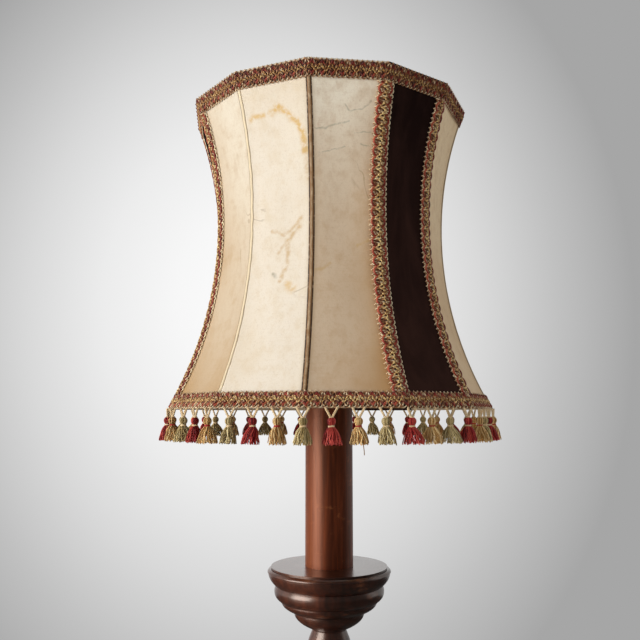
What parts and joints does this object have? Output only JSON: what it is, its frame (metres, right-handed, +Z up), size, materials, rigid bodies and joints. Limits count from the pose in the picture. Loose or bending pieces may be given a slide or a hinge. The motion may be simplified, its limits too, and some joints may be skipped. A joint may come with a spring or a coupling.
{
  "type": "candlestick floor lamp",
  "caption": "Turned wooden candlestick floor lamp with drip cup, candle tube, brass lampholder and a waisted panelled parchment shade with braid and tassels.",
  "frame": {"origin": "on the floor, under the middle of the column", "axes": "+Z up along the column, -Y towards the front as pictured, +X to the right, where the switch knob points; the cable leaves at +Y"},
  "size_m": [0.4765, 0.4782, 1.68],
  "materials": {
    "column_wood": "dark red-brown stain under worn satin wax",
    "tube_wood": "red-brown stain, satin, worn golden at the lower edge",
    "felt": "dark wool felt",
    "iron": "as cast, dull",
    "steel": "zinc plated",
    "hardboard": "pressed fibre board, matt",
    "black_plastic": "moulded, semi-matt",
    "brass": "aged, satin",
    "lead_sheath": "round flexible lead",
    "porcelain": "glazed white",
    "bulb_glass": "clear",
    "cap_metal": "rolled thread",
    "cap_insulator": "black vitrite",
    "filament_wire": "drawn wire",
    "frame_wire": "cream coated wire",
    "parchment": "cream goatskin parchment with amber veins",
    "dark_velvet": "dark brown velvet",
    "gimp_braid": "woven gold, olive and burgundy cords",
    "seam_skin": "folded parchment strip",
    "red_silk": "burgundy rayon",
    "gold_silk": "old gold rayon",
    "sage_silk": "sage green rayon"
  },
  "bodies": {
    "root": {"base_plinth": "column_wood", "bun_feet": "column_wood", "felt_pads": "felt", "ballast_weight": "iron", "ballast_screws": "steel", "underside_cover": "hardboard", "cover_screws": "steel", "rod_washer": "steel", "rod_nut": "steel", "cable_bush": "black_plastic", "junction_box": "black_plastic", "column_foot": "column_wood", "column_shaft": "column_wood", "knop_ring": "column_wood", "upper_baluster": "column_wood", "drip_cup": "column_wood", "candle_tube": "tube_wood", "tie_rod": "brass", "tube_cap": "brass", "lock_nut": "brass", "inner_lead": "lead_sheath", "holder_cap": "brass", "holder_sleeve": "brass", "holder_core": "porcelain", "screw_shell": "brass", "holder_contacts": "brass", "terminal_posts": "brass", "lower_shade_ring": "black_plastic"},
    "shade": {"shade_fitter": "frame_wire", "top_ring": "frame_wire", "bottom_ring": "frame_wire", "shade_ribs": "frame_wire", "parchment_panel_1": "parchment", "parchment_panel_2": "parchment", "parchment_panel_3": "parchment", "parchment_panel_4": "parchment", "parchment_panel_5": "parchment", "parchment_panel_6": "parchment", "parchment_panel_7": "parchment", "parchment_panel_8": "parchment", "parchment_panel_9": "parchment", "dark_panel_1": "dark_velvet", "dark_panel_2": "dark_velvet", "dark_panel_3": "dark_velvet", "top_braid": "gimp_braid", "bottom_braid": "gimp_braid", "rib_braids": "gimp_braid", "seam_strips": "seam_skin", "red_tassels": "red_silk", "gold_tassels": "gold_silk", "sage_tassels": "sage_silk"},
    "clamp_ring": {"upper_shade_ring": "black_plastic"},
    "switch": {"switch_spindle": "steel", "switch_knob": "black_plastic"},
    "bulb": {"bulb_glass": "bulb_glass", "bulb_cap": "cap_metal", "bulb_insulator": "cap_insulator", "bulb_contact": "cap_metal", "bulb_stem": "bulb_glass", "bulb_filament": "filament_wire"}
  },
  "joints": [
    {"name": "shade_turn", "type": "hinge", "parent": "root", "child": "shade", "pos_m": [0, 0, 1.3663], "axis": [0, 0, 1], "continuous": true},
    {"name": "clamp_ring_turn", "type": "hinge", "parent": "root", "child": "clamp_ring", "pos_m": [0, 0, 1.3686], "axis": [0, 0, 1], "continuous": true},
    {"name": "switch_turn", "type": "hinge", "parent": "root", "child": "switch", "pos_m": [0.0218, 0, 1.35], "axis": [1, 0, 0], "continuous": true},
    {"name": "bulb_out", "type": "slide", "parent": "root", "child": "bulb", "axis": [0, 0, 1], "range_m": [0, 0.13]}
  ]
}
